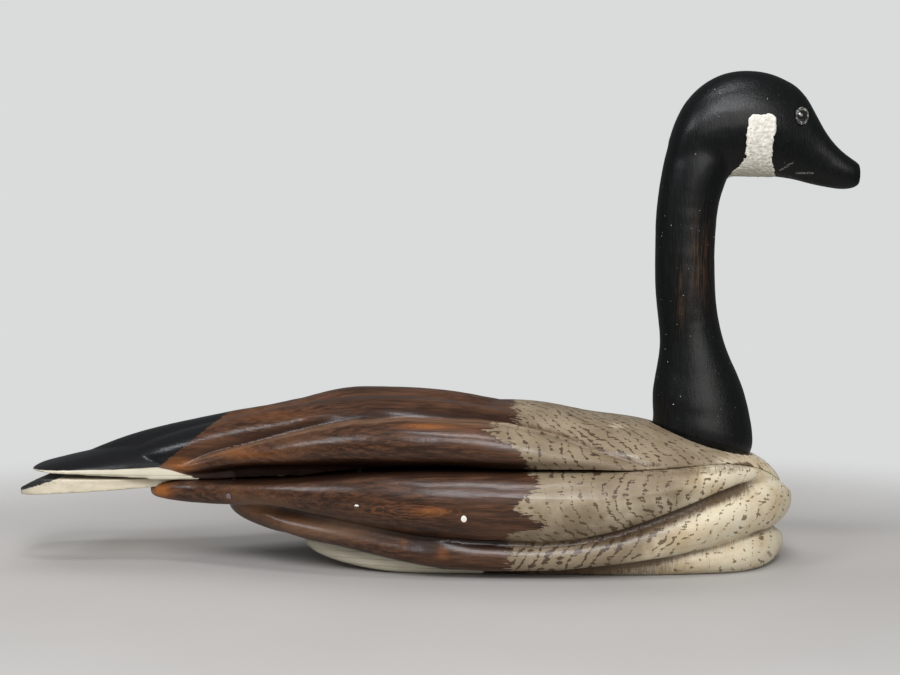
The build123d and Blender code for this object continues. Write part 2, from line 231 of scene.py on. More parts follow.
def distance_inside(x, z, outline):
    """Signed distance to a closed side-view outline: above 0 inside it."""
    nearest = np.full(len(x), 1e9)
    inside = np.zeros(len(x), bool)
    for (x0, z0), (x1, z1) in zip(outline, outline[1:] + outline[:1]):
        dx, dz = x1 - x0, z1 - z0
        nearest = np.minimum(nearest, distance_to_stroke(x, z, x0, z0, dx, dz))
        if dz:
            crosses = ((z0 > z) != (z1 > z)) & (x < x0 + dx * (z - z0) / dz)
            inside ^= crosses
    return np.where(inside, nearest, -nearest)


# --- meshes -------------------------------------------------------------------------------
def read_points(mesh, field="co"):
    values = np.zeros(len(mesh.vertices) * 3, np.float32)
    if field == "co":
        mesh.vertices.foreach_get("co", values)
        return values.reshape(-1, 3).astype(float) / MM
    mesh.vertex_normals.foreach_get("vector", values)
    return values.reshape(-1, 3).astype(float)


def write_points(mesh, points):
    mesh.vertices.foreach_set("co", (points * MM).astype(np.float32).ravel())
    mesh.update()


def write_value(mesh, name, values):
    attribute = mesh.attributes.new(name, "FLOAT", "POINT")
    attribute.data.foreach_set("value", np.asarray(values, np.float32))


def new_piece(name, mesh, material):
    piece = bpy.data.objects.new(name, mesh)
    bpy.context.scene.collection.objects.link(piece)
    mesh.materials.clear()
    mesh.materials.append(material)
    mesh.shade_smooth()
    return piece


def bake_modifiers(piece):
    """Turns the piece's modifiers into its own mesh."""
    bpy.context.view_layer.update()
    ready = piece.evaluated_get(bpy.context.evaluated_depsgraph_get())
    mesh = bpy.data.meshes.new_from_object(ready)
    piece.modifiers.clear()
    piece.data = mesh
    return mesh


def averaged(mesh, points, rounds):
    """The points after that many rounds of averaging with their neighbours."""
    edges = np.zeros(len(mesh.edges) * 2, np.int32)
    mesh.edges.foreach_get("vertices", edges)
    a, b = edges.reshape(-1, 2).T
    count = np.bincount(a, minlength=len(points)) + np.bincount(b, minlength=len(points))
    for _ in range(rounds):
        total = np.empty_like(points)
        for axis in range(3):
            total[:, axis] = (np.bincount(a, points[b, axis], len(points))
                              + np.bincount(b, points[a, axis], len(points)))
        points = 0.4 * points + 0.6 * total / np.maximum(count, 1)[:, None]
    return points


def hollowness(mesh, rounds):
    """How deep each point lies below its averaged surroundings, in millimetres: creases are above 0."""
    points = read_points(mesh)
    return np.einsum("ij,ij->i", averaged(mesh, points, rounds) - points, read_points(mesh, "normal"))


def carved_copy(name, node, material, voxel, most_faces, shape, soften=None):
    """A CAD node's mesh made fine and even, then worked over as one piece: shape(points) says how
    far each point moves out. soften(points) says how much of each place is smoothed away first,
    0 to 1."""
    mesh = frame["nodes"][node].data.copy()
    piece = new_piece(name, mesh, material)
    remesh = piece.modifiers.new("fine", "REMESH")
    remesh.mode = "VOXEL"
    remesh.voxel_size = voxel * MM
    relax = piece.modifiers.new("relax", "SMOOTH")
    relax.factor = 0.5
    relax.iterations = 3
    mesh = bake_modifiers(piece)
    points = read_points(mesh)
    if soften:
        soft = averaged(mesh, points, SOFTEN_ROUNDS)
        soft += soft - averaged(mesh, soft, SOFTEN_ROUNDS)
        points += (soft - points) * soften(points)[:, None]
        write_points(mesh, points)
    normals = read_points(mesh, "normal")
    worked = points + normals * shape(points)[:, None]
    write_points(mesh, averaged(mesh, worked, SETTLE_ROUNDS))
    triangles = sum(len(face.vertices) - 2 for face in mesh.polygons)
    if triangles > most_faces:
        fewer = piece.modifiers.new("fewer", "DECIMATE")
        fewer.ratio = most_faces / triangles
        mesh = bake_modifiers(piece)
    mesh.materials.clear()
    mesh.materials.append(material)
    mesh.shade_smooth()
    return piece


# --- shader graphs ------------------------------------------------------------------------
class Paint:
    """Builds one material's node graph. Lengths are millimetres on the object itself."""

    def __init__(self, name, **constants):
        self.material = bpy.data.materials.new(name)
        self.material.use_nodes = True
        self.tree = self.material.node_tree
        self.shader = self.tree.nodes["Principled BSDF"]
        for socket, value in constants.items():
            self.shader.inputs[socket.replace("_", " ")].default_value = value
        place = self.tree.nodes.new("ShaderNodeTexCoord").outputs["Object"]
        self.place = self.vector("SCALE", place, scale=1 / MM)

    def feed(self, socket, value):
        if isinstance(value, bpy.types.NodeSocket):
            self.tree.links.new(value, socket)
        elif value is not None:
            socket.default_value = value

    def vector(self, operation, a, b=None, scale=None):
        node = self.tree.nodes.new("ShaderNodeVectorMath")
        node.operation = operation
        self.feed(node.inputs[0], a)
        self.feed(node.inputs[1], b)
        if operation == "SCALE":
            self.feed(node.inputs["Scale"], scale)
        return node.outputs["Value" if operation == "LENGTH" else "Vector"]

    def math(self, operation, a, b=None, c=None, clamp=False):
        node = self.tree.nodes.new("ShaderNodeMath")
        node.operation = operation
        node.use_clamp = clamp
        for socket, value in zip(node.inputs, (a, b, c)):
            self.feed(socket, value)
        return node.outputs[0]

    def times(self, a, b, clamp=False):
        return self.math("MULTIPLY", a, b, clamp=clamp)

    def plus(self, a, b):
        return self.math("ADD", a, b)

    def minus(self, a, b):
        return self.math("SUBTRACT", a, b)

    def split(self, vector):
        node = self.tree.nodes.new("ShaderNodeSeparateXYZ")
        self.feed(node.inputs[0], vector)
        return node.outputs

    def join(self, x=0.0, y=0.0, z=0.0):
        node = self.tree.nodes.new("ShaderNodeCombineXYZ")
        for socket, value in zip(node.inputs, (x, y, z)):
            self.feed(socket, value)
        return node.outputs[0]

    def value(self, name):
        """A value stored on the mesh's points."""
        node = self.tree.nodes.new("ShaderNodeAttribute")
        node.attribute_name = name
        return node.outputs["Fac"]

    def noise(self, size, detail=2.0, rough=0.5, at=None, stretch=(1, 1, 1)):
        """Noise with lumps of about that size, longer along an axis whose stretch is above 1."""
        node = self.tree.nodes.new("ShaderNodeTexNoise")
        node.inputs["Scale"].default_value = 1.0
        node.inputs["Detail"].default_value = detail
        node.inputs["Roughness"].default_value = rough
        scale = tuple(1 / (size * part) for part in stretch)
        self.feed(node.inputs["Vector"], self.vector("MULTIPLY", at or self.place, scale))
        return node.outputs["Fac"]

    def step(self, value, low, high):
        """0 below low, 1 above high, smooth between; low may be above high."""
        node = self.tree.nodes.new("ShaderNodeMapRange")
        node.interpolation_type = "SMOOTHSTEP"
        self.feed(node.inputs["Value"], value)
        if low > high:
            low, high = high, low
            node.inputs["To Min"].default_value = 1.0
            node.inputs["To Max"].default_value = 0.0
        node.inputs["From Min"].default_value = low
        node.inputs["From Max"].default_value = high
        return node.outputs["Result"]

    def blend(self, factor, a, b):
        """A colour from a at factor 0 to b at factor 1."""
        node = self.tree.nodes.new("ShaderNodeMix")
        node.data_type = "RGBA"
        self.feed(node.inputs["Factor"], factor)
        self.feed(node.inputs["A"], a)
        self.feed(node.inputs["B"], b)
        return node.outputs["Result"]

    def between(self, factor, low, high):
        """A number from low at factor 0 to high at factor 1."""
        return self.math("MULTIPLY_ADD", factor, high - low, low)

    def bump(self, height, depth):
        """Relief whose height of 1 stands for that many millimetres."""
        node = self.tree.nodes.new("ShaderNodeBump")
        node.inputs["Strength"].default_value = 1.0
        node.inputs["Distance"].default_value = depth * MM
        self.feed(node.inputs["Height"], height)
        return node.outputs["Normal"]

    def finish(self, colour, roughness, normal=None, coat_normal=None):
        self.feed(self.shader.inputs["Base Color"], colour)
        self.feed(self.shader.inputs["Roughness"], roughness)
        self.feed(self.shader.inputs["Normal"], normal)
        self.feed(self.shader.inputs["Coat Normal"], coat_normal)
        return self.material


def stained_wood(paint):
    """Dark walnut stain over pine: bands that follow the growth rings, streaks along the grain."""
    wander = paint.noise(60, 1.0, stretch=(2.5, 1, 1))
    _, y, z = paint.split(paint.place)
    height = paint.math("MULTIPLY_ADD", wander, 46.0, z)
    radius = paint.vector("LENGTH", paint.join(0.0, paint.minus(y, 18.0),
                                               paint.plus(height, 60.0)))
    rings = paint.math("SINE", paint.times(radius, 1.25))
    rings = paint.step(rings, -0.4, 1.0)
    streaks = paint.noise(2.2, 4.0, 0.65, stretch=(14, 1, 1))
    fibres = paint.noise(0.7, 2.0, 0.6, stretch=(22, 1, 1))
    cloud = paint.noise(34, 2.0, stretch=(2.2, 1, 1))
    colour = paint.blend(paint.step(streaks, 0.34, 0.66), WOOD_DARK, WOOD_LIGHT)
    colour = paint.blend(paint.times(rings, 0.42), colour, WOOD_RING)
    colour = paint.blend(paint.times(paint.step(cloud, 0.48, 0.8), 0.7), colour,
                         WOOD_CLOUD)
    q = paint.plus(paint.value("figure"), paint.between(paint.noise(9, 3.0, 0.6), -0.35, 0.35))
    contour = paint.step(paint.math("SINE", paint.times(q, 19.0)), 0.1, 1.0)
    near = paint.times(paint.step(q, 1.3, 0.7), contour)
    colour = paint.blend(paint.times(near, 0.6), colour, WOOD_FIGURE)
    colour = paint.blend(paint.times(paint.step(fibres, 0.5, 0.68), 0.6), colour,
                         WOOD_FIBRE)
    ochre = paint.times(paint.value("ochre"), paint.between(streaks, 0.45, 1.5), clamp=True)
    colour = paint.blend(ochre, colour, WOOD_OCHRE)
    # Painted shade in recesses, creases and under the flank, and a dark knot on the breast roll.
    dark = paint.times(paint.value("dark"), paint.between(streaks, 0.6, 1.3), clamp=True)
    colour = paint.blend(dark, colour, WOOD_SHADE_AND_KNOT)
    # Lighter streaked wood: a painted highlight and sheen, and some wear.
    wear_and_sheen = paint.times(paint.value("wear_and_sheen"), paint.between(streaks, 0.5, 1.1), clamp=True)
    colour = paint.blend(wear_and_sheen, colour, WOOD_WORN_AND_SHEEN)
    return colour, rings, fibres


def pale_paint(paint):
    """Taupe paint that turns to cream over the breast."""
    patch = paint.noise(26, 3.0, 0.55)
    brush = paint.noise(1.1, 3.0, 0.6, stretch=(7, 1, 1))
    taupe = paint.blend(paint.step(patch, 0.3, 0.7), TAUPE_DARK, TAUPE_LIGHT)
    cream = paint.blend(paint.step(patch, 0.35, 0.65), CREAM_DARK, CREAM_LIGHT)
    edge = paint.plus(paint.value("cream"), paint.between(patch, -0.35, 0.35))
    colour = paint.blend(paint.step(edge, 0.2, 0.8), taupe, cream)
    return paint.blend(paint.times(paint.step(brush, 0.5, 0.8), 0.25), colour,
                       BRUSH_MARK)


def ticks(paint):
    """Rows of short broken brown strokes: "row" counts the rows and "lane" runs along them."""
    wobble = paint.noise(6.0, 3.0, 0.6)
    drift = paint.noise(28, 1.0)
    row = paint.plus(paint.value("row"), paint.between(wobble, -0.7, 0.7))
    row = paint.plus(row, paint.between(drift, -1.2, 1.2))
    middle = paint.math("ABSOLUTE", paint.minus(paint.math("FRACT", row), 0.5))
    ragged = paint.noise(0.55, 1.0)
    off = paint.times(middle, ROW_SPACING)
    off = paint.plus(off, paint.between(ragged, -0.75, 0.75))
    number = paint.times(paint.math("FLOOR", row), 7.31)
    piece = paint.noise(1.0, 1.0, at=paint.join(
        paint.math("DIVIDE", paint.value("lane"), 1.9), number, 0.0))
    wide = paint.math("MULTIPLY_ADD", paint.minus(piece, 0.5), 6.6, paint.value("tick"))
    wide = paint.plus(wide, paint.between(paint.noise(17, 1.0), -0.9, 0.9))
    return paint.step(paint.minus(wide, off), -0.12, 0.16)


def body_material(name):
    """Varnished carving: stained wood behind, ticked taupe and cream paint in front."""
    paint = Paint(name, Coat_Weight=0.32, Coat_Roughness=0.19, Specular_IOR_Level=0.14)
    wood, rings, fibres = stained_wood(paint)
    _, _, z = paint.split(paint.place)
    teeth = paint.noise(1.0, 2.0, 0.6, stretch=(9, 1.3, 1.3))
    lumps = paint.noise(7, 1.0)
    reach = paint.math("MULTIPLY_ADD", paint.minus(teeth, 0.5), 26.0, paint.value("stain"))
    reach = paint.plus(reach, paint.between(lumps, -4.0, 4.0))
    painted = paint.step(reach, -0.5, 0.5)
    pale = pale_paint(paint)
    hollow = paint.value("hollow")
    # Painted shade: brown in the creases, as deep as they are hollow, and where the stored shade lies;
    # the decoy's own airbrushed brown shares these places.
    crease_shade = paint.times(paint.step(hollow, 0.15, 1.6), 0.85)
    hair = paint.noise(1.1, 2.0, 0.6, stretch=(1, 6, 6))
    shade_spray = paint.plus(paint.value("shade"), paint.between(hair, -0.4, 0.4))
    shade_spray = paint.times(paint.step(shade_spray, 0.1, 0.85), 0.92)
    pale = paint.blend(paint.math("MAXIMUM", crease_shade, shade_spray), pale, SHADE_BROWN)
    speck = paint.times(ticks(paint), 0.88)
    pale = paint.blend(speck, pale, paint.blend(paint.value("cream"), TICK_ON_TAUPE, TICK_ON_CREAM))
    colour = paint.blend(painted, wood, pale)
    # Painted shadow: near black deep in the creases.
    crease_shadow = paint.times(paint.step(hollow, 0.9, 2.6), 0.85)
    colour = paint.blend(crease_shadow, colour, DEEP_CREASE_SHADOW)
    white = paint.blend(paint.noise(14, 2.0), BELLY_DARK, BELLY_LIGHT)
    level = paint.plus(paint.math("DIVIDE", z, 4.6), paint.noise(40, 1.0, stretch=(3, 1, 1)))
    level = paint.math("ABSOLUTE", paint.minus(paint.math("FRACT", level), 0.5))
    groove = paint.times(paint.step(level, 0.09, 0.03), paint.noise(30, 1.0))
    white = paint.blend(groove, white, BELLY_GROOVE)
    colour = paint.blend(paint.step(paint.value("white"), -0.35, 0.35), colour, white)
    black = paint.step(paint.plus(paint.value("black"), paint.between(teeth, -2.5, 2.5)), -0.6, 0.6)
    colour = paint.blend(black, colour, UPPER_TAIL_BLACK)
    chatter = paint.noise(1.0, 1.0, stretch=(0.9, 9, 9))
    relief = paint.plus(paint.times(fibres, 0.5), paint.times(rings, 0.35))
    relief = paint.plus(relief, paint.times(chatter, 0.35))
    relief = paint.plus(relief, paint.times(painted, 0.6))
    normal = paint.bump(relief, 0.10)
    roughness = paint.between(paint.plus(paint.times(painted, 0.5),
                                         paint.times(fibres, 0.3)), 0.32, 0.66)
    return paint.finish(colour, roughness, normal, normal)


def tail_material():
    """Cream paint with a black tip and brown dirt in the corners."""
    paint = Paint("tail_paint", Coat_Weight=0.2, Coat_Roughness=0.3)
    cloud = paint.noise(9, 3.0, 0.6, stretch=(3, 1, 1))
    colour = paint.blend(paint.step(cloud, 0.3, 0.7), TAIL_DARK, TAIL_LIGHT)
    dirt = paint.step(paint.noise(2.0, 3.0, 0.7, stretch=(2, 1, 1)), 0.56, 0.75)
    dirt = paint.times(dirt, paint.value("dirt"))
    colour = paint.blend(dirt, colour, TAIL_DIRT)
    ragged = paint.noise(1.2, 3.0, 0.6)
    black = paint.plus(paint.value("black"), paint.between(ragged, -1.6, 1.6))
    colour = paint.blend(paint.step(black, -0.4, 0.4), colour, LOWER_TAIL_BLACK)
    normal = paint.bump(paint.noise(0.9, 3.0, 0.6, stretch=(9, 1, 1)), 0.12)
    return paint.finish(colour, paint.between(cloud, 0.35, 0.55), normal, normal)


def head_material():
    """Satin black paint, brushed on over wood, worn brown in streaks and flecked with white."""
    paint = Paint("head_paint", Coat_Weight=0.2, Coat_Roughness=0.18, Specular_IOR_Level=0.16)
    brush = paint.noise(1.3, 4.0, 0.65, stretch=(1, 1, 16))
    fine = paint.noise(0.5, 2.0, 0.6, stretch=(1, 1, 12))
    cloud = paint.noise(30, 2.0)
    colour = paint.blend(paint.step(brush, 0.35, 0.7), HEAD_DARK, HEAD_LIGHT)
    worn = paint.times(paint.value("worn"), paint.step(brush, 0.42, 0.62))
    colour = paint.blend(worn, colour, HEAD_WORN)
    fleck = paint.step(paint.noise(1.5, 1.0), 0.775, 0.80)
    fleck = paint.times(fleck, paint.step(cloud, 0.45, 0.6))
    colour = paint.blend(fleck, colour, HEAD_FLECK)
    scratch = paint.times(paint.value("scratch"), paint.step(paint.noise(1.1, 2.0), 0.38, 0.55))
    colour = paint.blend(scratch, colour, HEAD_SCRATCH)
    relief = paint.plus(paint.times(brush, 0.7), paint.times(fine, 0.4))
    normal = paint.bump(relief, 0.24)
    roughness = paint.between(brush, 0.32, 0.52)
    return paint.finish(colour, roughness, normal, normal)


def chin_material():
    """Thick chalky cream paint, pitted, with dirt in the pits, and painted shade towards its bottom."""
    paint = Paint("chin_paint", Coat_Weight=0.0, Specular_IOR_Level=0.4)
    lumps = paint.noise(2.4, 3.0, 0.6)
    pits = paint.step(paint.noise(1.5, 2.0, 0.5), 0.66, 0.73)
    colour = paint.blend(paint.step(lumps, 0.3, 0.7), CHIN_DARK, CHIN_LIGHT)
    colour = paint.blend(paint.times(pits, 0.7), colour, CHIN_PIT)
    _, _, z = paint.split(paint.place)
    # Painted shade: the patch darkens towards its bottom.
    colour = paint.blend(paint.times(paint.step(z, 292, 276), 0.5), colour, CHIN_IN_SHADE)
    normal = paint.bump(paint.minus(lumps, paint.times(pits, 0.6)), 0.5)
    return paint.finish(colour, paint.between(lumps, 0.75, 0.5), normal)


def bare_wood():
    """Unpainted dowel wood with grain along the peg."""
    paint = Paint("bare_wood", Specular_IOR_Level=0.3)
    grain = paint.noise(0.9, 4.0, 0.6, stretch=(1, 1, 14))
    colour = paint.blend(paint.step(grain, 0.3, 0.7), DOWEL_DARK, DOWEL_LIGHT)
    return paint.finish(colour, paint.between(grain, 0.6, 0.8), paint.bump(grain, 0.08))


def nail_steel():
    paint = Paint("nail_steel", Metallic=1.0)
    rust = paint.noise(1.6, 3.0, 0.6)
    colour = paint.blend(paint.step(rust, 0.5, 0.65), STEEL, RUST)
    return paint.finish(colour, paint.between(rust, 0.3, 0.65), paint.bump(rust, 0.05))


def putty():
    paint = Paint("putty", Specular_IOR_Level=0.4)
    grit = paint.noise(0.8, 3.0, 0.6)
    colour = paint.blend(paint.step(grit, 0.3, 0.7), PUTTY_DARK, PUTTY_LIGHT)
    x, _, z = paint.split(paint.place)
    # The middle dot is half hidden under brown stain, and the rear one is glazed over.
    stained = paint.plus(z, paint.between(grit, -0.8, 0.8))
    stained = paint.times(paint.step(stained, 51.6, 50.9), paint.step(x, -20, -30))
    colour = paint.blend(stained, colour, PUTTY_STAINED)
    colour = paint.blend(paint.step(x, -100, -110), colour, PUTTY_GLAZED)
    return paint.finish(colour, paint.between(grit, 0.45, 0.6), paint.bump(grit, 0.15))


def eye_glass():
    """Dark glass over a brown ground."""
    paint = Paint("eye_glass", Coat_Weight=1.0, Coat_Roughness=0.03)
    cloud = paint.noise(1.4, 2.0)
    colour = paint.blend(paint.step(cloud, 0.4, 0.7), EYE_DARK, EYE_BROWN)
    return paint.finish(colour, paint.between(cloud, 0.08, 0.16))


def eye_rim():
    """Chipped silver-grey paint."""
    paint = Paint("eye_rim", Coat_Weight=0.15, Coat_Roughness=0.3)
    chips = paint.noise(1.5, 3.0, 0.6)
    colour = paint.blend(paint.step(chips, 0.49, 0.56), RIM_DARK, RIM_SILVER)
    return paint.finish(colour, paint.between(chips, 0.5, 0.35), paint.bump(chips, 0.25))


# --- the body's own values ----------------------------------------------------------------
def tool_marks(points, seed, depth):
    """Shallow unevenness left by the carver's tools."""
    rng = np.random.default_rng(seed)
    return depth * (0.7 * swell(points, rng, 60, 24) + 0.3 * swell(points, rng, 16, 7))


def outer_face(p):
    """1 on the outside of the body, fading to 0 on the faces of the hollow and of the neck's bore."""
    over_hollow = smooth_step(p[:, 0], -125, -95) * smooth_step(p[:, 0], 175, 145)
    inner = 12 + 32 * over_hollow
    return smooth_step(np.abs(p[:, 1]), inner, inner + 9)


def undercut(p, line, depth, fade, rim, side, start, end):
    """A carved step along a line: the wood on one side of it (1 above, -1 below) is cut back under
    the lobe on the other side, whose edge stands up as a soft rim."""
    away = side * (p[:, 2] - height_of(line, p[:, 0]))
    cut = smooth_step(away, -1.3, 1.3) * np.exp(-(np.maximum(away, 0) / fade) ** 1.5)
    edge = np.exp(-((away + 2.6) / 2.2) ** 2)
    reach = smooth_step(p[:, 0], start, start + 30) * smooth_step(p[:, 0], end, end - 30)
    return (rim * edge - depth * cut) * reach * outer_face(p)


def shape_back(p):
    """The step behind the wing's upper edge, and the deep slot under the wing."""
    x, _, z = p.T
    depth = tool_marks(p, seed=3, depth=0.13)
    depth += undercut(p, WING_LINE, depth=3.6, fade=9, rim=0.35, side=1, start=-185, end=150)
    slot = smooth_step(z - height_of(RECESS_TOP, x), 3, -5) * smooth_step(x, -165, -125)
    slot *= smooth_step(x, 140, 100) * outer_face(p)
    return depth - 2.4 * slot


def facet(p):
    """Behind the paint the breast roll is pared flatter above and left full below."""
    x, _, z = p.T
    top, bottom = height_of(BREAST_LINE, x), height_of(BELLY_LINE, x)
    t = np.clip((2 * z - top - bottom) / (top - bottom), -1, 1)
    reach = smooth_step(x, -140, -105) * smooth_step(x, 20, -30)
    return -2.3 * np.sin(math.pi * t) * reach * outer_face(p)


def shape_breast(p):
    """Each roll overhangs the next one down, and a blunt edge runs along the flank."""
    depth = tool_marks(p, seed=5, depth=0.13) + facet(p)
    depth += undercut(p, BREAST_LINE, depth=2.6, fade=10, rim=0.2, side=-1, start=0, end=235)
    depth += undercut(p, BELLY_LINE, depth=2.0, fade=6, rim=0.25, side=-1, start=-120, end=250)
    off = np.abs(p[:, 2] - height_of(FLANK_EDGE, p[:, 0]))
    edge = np.exp(-off / 3.4) * smooth_step(p[:, 0], 5, 70) * smooth_step(p[:, 0], 210, 160)
    return depth + 0.9 * edge * outer_face(p)


def shape_tail(p):
    return tool_marks(p, seed=7, depth=0.12)


def shape_head(p):
    return tool_marks(p, seed=9, depth=0.12)


def neck_joins_head(p):
    return spots(p, NECK_BEND)


def paint_back(piece):
    """Stores where the paints of the upper block lie."""
    mesh = piece.data
    p = read_points(mesh)
    x, y, z = p.T
    out = np.abs(y)
    over_wing = z - height_of(WING_LINE, x)
    on_wing = (over_wing < 0) & (out > 30)
    start = np.where(on_wing, along(PALE_FROM_WING, z), PALE_FROM_SHOULDER)
    lean = np.where(on_wing, 0.018 * (102 - z) ** 2, 0.55 * (out - z + 95))
    write_value(mesh, "stain", x - start)
    write_value(mesh, "row", (x - lean) / ROW_SPACING)
    write_value(mesh, "lane", 0.6 * out - z)
    smudge = spots(p, CREAM_ON_BACK) * smooth_step(out, 22, 38)
    write_value(mesh, "cream", np.maximum(smooth_step(x, 150, 250), smudge))
    write_value(mesh, "tick", 0.5 - 0.2 * smooth_step(x, 130, 170) + spots(p, TICKS_ON_BACK))
    # Painted highlight: a lighter line along the wing's rim.
    wing_rim_highlight = np.exp(-((over_wing + 1.2) / 0.9) ** 2) * (out > 20)
    write_value(mesh, "wear_and_sheen", 0.45 * wing_rim_highlight * smooth_step(x, -186, -170))
    write_value(mesh, "figure", np.hypot((x + 8) / 16, (z - 104) / 2.4) + (out < 40))
    write_value(mesh, "hollow", hollowness(mesh, CREASE_ROUNDS))
    shade = 0.7 * smooth_step(over_wing, 5, 0) * smooth_step(over_wing, -0.5, 0.5) * (x < 150)
    shade = np.maximum(shade, smooth_step(z, 77, 73) * (x > 60) * (out > 40))
    write_value(mesh, "shade", shade)
    write_value(mesh, "ochre", spots(p, OCHRE_ON_BACK))
    # Painted shade in the recess under the wing and in the crease above the wing's edge.
    recess = smooth_step(z - height_of(RECESS_TOP, x), 4, -3) * smooth_step(x, -190, -175)
    recess *= smooth_step(x, 75, 60) * (out > 20)
    crease = 0.85 * smooth_step(over_wing, 9, 0) * smooth_step(over_wing, -0.6, 0.4)
    write_value(mesh, "dark", np.maximum(0.9 * recess, crease * smooth_step(x, -186, -160)))
    over_cream = z - height_of(CREAM_TOP, x)
    write_value(mesh, "white", np.where(x < -170, -over_cream, NOWHERE))
    write_value(mesh, "black", np.minimum(-199 + 1.235 * (z - 70) - x, over_cream * 4))


def paint_breast(piece):
    """Stores where the paints of the lower block lie."""
    mesh = piece.data
    p = read_points(mesh)
    x, y, z = p.T
    out = np.abs(y)
    over_breast = z - height_of(BREAST_LINE, x)
    over_belly = z - height_of(BELLY_LINE, x)
    flank = over_breast > 0
    belly = over_belly < 0
    start = np.select([flank, belly], [along(PALE_FROM_FLANK, z), np.full(len(x), PALE_FROM_BELLY)],
                      PALE_FROM_BREAST)
    lean = np.select([flank, belly], [0.03 * (z - 58) ** 2, 0 * z], 0.8 * (z - 30))
    write_value(mesh, "stain", x - start)
    write_value(mesh, "row", (x - lean) / ROW_SPACING)
    write_value(mesh, "lane", 0.4 * out - z)
    pale_flank = np.maximum(smooth_step(x, 120, 215), 0.36 * smooth_step(z, 66, 56))
    cream = np.select([flank, belly], [pale_flank, smooth_step(x, 60, 170)],
                      smooth_step(x + 1.2 * (30 - z), 112, 185))
    write_value(mesh, "cream", cream)
    write_value(mesh, "tick", 0.5 - 0.4 * cream + spots(p, TICKS_ON_BREAST))
    # Painted sheen on the breast roll and wear at the flank's rear tip.
    write_value(mesh, "wear_and_sheen", spots(p, WEAR_AND_SHEEN_ON_BREAST))
    write_value(mesh, "figure", np.hypot((x + 20) / 31, (z - 49) / 5.8))
    write_value(mesh, "hollow", hollowness(mesh, CREASE_ROUNDS))
    under_flank = smooth_step(over_breast, -12, -3) * (over_breast < 0.5) * smooth_step(x, 60, 130)
    under_breast = 0.5 * smooth_step(over_belly, -6, -1) + spots(p, SHADE_UNDER_BREAST)
    under_breast *= over_belly < 0.5
    along_seam = 0.45 * smooth_step(z, 69, 73) * smooth_step(x, 110, 150)
    write_value(mesh, "shade", np.maximum.reduce([under_flank, under_breast, along_seam])
                * smooth_step(x, 232, 200))
    write_value(mesh, "ochre", spots(p, OCHRE_ON_BREAST))
    # Painted shade along the seam and a painted shadow under the flank's edge, with a dark knot on the
    # breast roll.
    at_seam = smooth_step(x, -190, -175) * smooth_step(z - height_of(SEAM_LINE, x), -2.5, 0)
    at_seam *= smooth_step(x, 75, 60)
    gap = smooth_step(over_breast, -8.5, -3.5) * (over_breast < 0.4)
    gap *= smooth_step(x, -128, -105)
    write_value(mesh, "dark", np.maximum.reduce([spots(p, DARK_PATCH), 0.85 * at_seam, gap]))
    pale_under = np.minimum(-over_belly - 1.8, (30 - x) * 0.25)
    write_value(mesh, "white", np.where(belly & (x > -100), pale_under, NOWHERE))
    write_value(mesh, "black", np.full(len(x), NOWHERE))


def paint_tail_board(piece):
    p = read_points(piece.data)
    x, _, z = p.T
    write_value(piece.data, "black", z - (51.5 + 0.34 * (x + 300)))
    write_value(piece.data, "dirt", smooth_step(x, -215, -300) * smooth_step(z, 52, 58))


def paint_head(piece):
    p = read_points(piece.data)
    x, y, z = p.T
    worn = spots(p, NECK_WORN) * (x > 176) + spots(p, NECK_WORN_BEHIND)
    write_value(piece.data, "worn", worn)
    scratch = 0 * x
    for x0, z0, x1, z1 in SCRATCHES:
        away = distance_to_stroke(x, z, x0, z0, x1 - x0, z1 - z0)
        scratch = np.maximum(scratch, 0.9 * smooth_step(away, 0.75, 0.15) * (y < 0))
    write_value(piece.data, "scratch", scratch)


# --- small pieces -------------------------------------------------------------------------
def chin_patch(head, material):
    """Thick paint: the head's own surface inside the outline, raised, with an uneven edge."""
    p = read_points(head.data)
    x, _, z = p.T
    rng = np.random.default_rng(11)
    ragged = 0.45 * swell(p, rng, 7, 2.4, spread=(1, 1, 1))
    depth = distance_inside(x, z, CHIN_PATCH) + ragged
    depth = np.minimum(depth, (x - CHIN_REAR - CHIN_REAR_LEAN * (THROAT - z)) * 0.7 + 2)
    keep = depth > -1.5
    mesh = head.data.copy()
    faces = [tuple(face.vertices) for face in mesh.polygons if all(keep[i] for i in face.vertices)]
    used = np.unique([i for face in faces for i in face])
    number = {int(old): new for new, old in enumerate(used)}
    normals = read_points(head.data, "normal")[used]
    lift = -0.25 + 0.85 * smooth_step(depth[used], -0.5, 0.9)
    lift += 0.15 * swell(p[used], rng, 5, 2, spread=(1, 1, 1)) * smooth_step(depth[used], 0, 1)
    points = (p[used] + normals * lift[:, None]) * MM
    bpy.data.meshes.remove(mesh)
    patch = bpy.data.meshes.new("chin_patch")
    patch.from_pydata([tuple(v) for v in points], [], [[number[int(i)] for i in f] for f in faces])
    piece = new_piece("chin_patch", patch, material)
    finer = piece.modifiers.new("finer", "SUBSURF")
    finer.levels = finer.render_levels = 1
    mesh = bake_modifiers(piece)
    mesh.materials.clear()
    mesh.materials.append(material)
    mesh.shade_smooth()
    return piece


# --- stage --------------------------------------------------------------------------------
def camera():
    data = bpy.data.cameras.new("camera")
    data.lens = CAMERA_LENS
    data.sensor_width = CAMERA_SENSOR
    data.clip_start, data.clip_end = 0.01, 50
    eye = bpy.data.objects.new("camera", data)
    eye.location = CAMERA_PLACE
    eye.rotation_euler = (math.radians(90 - CAMERA_DOWN), 0, 0)
    bpy.context.scene.collection.objects.link(eye)
    bpy.context.scene.camera = eye


def area_light(name, place, target, size, power, colour, glossy):
    data = bpy.data.lights.new(name, "AREA")
    data.shape = "RECTANGLE"
    data.size, data.size_y = size
    data.energy = power
    data.color = colour
    lamp = bpy.data.objects.new(name, data)
    lamp.location = place
    lamp.rotation_euler = (Vector(target) - Vector(place)).to_track_quat("-Z", "Y").to_euler()
    lamp.visible_glossy = glossy
    bpy.context.scene.collection.objects.link(lamp)


def lights():
    for lamp in LAMPS:
        area_light(*lamp)


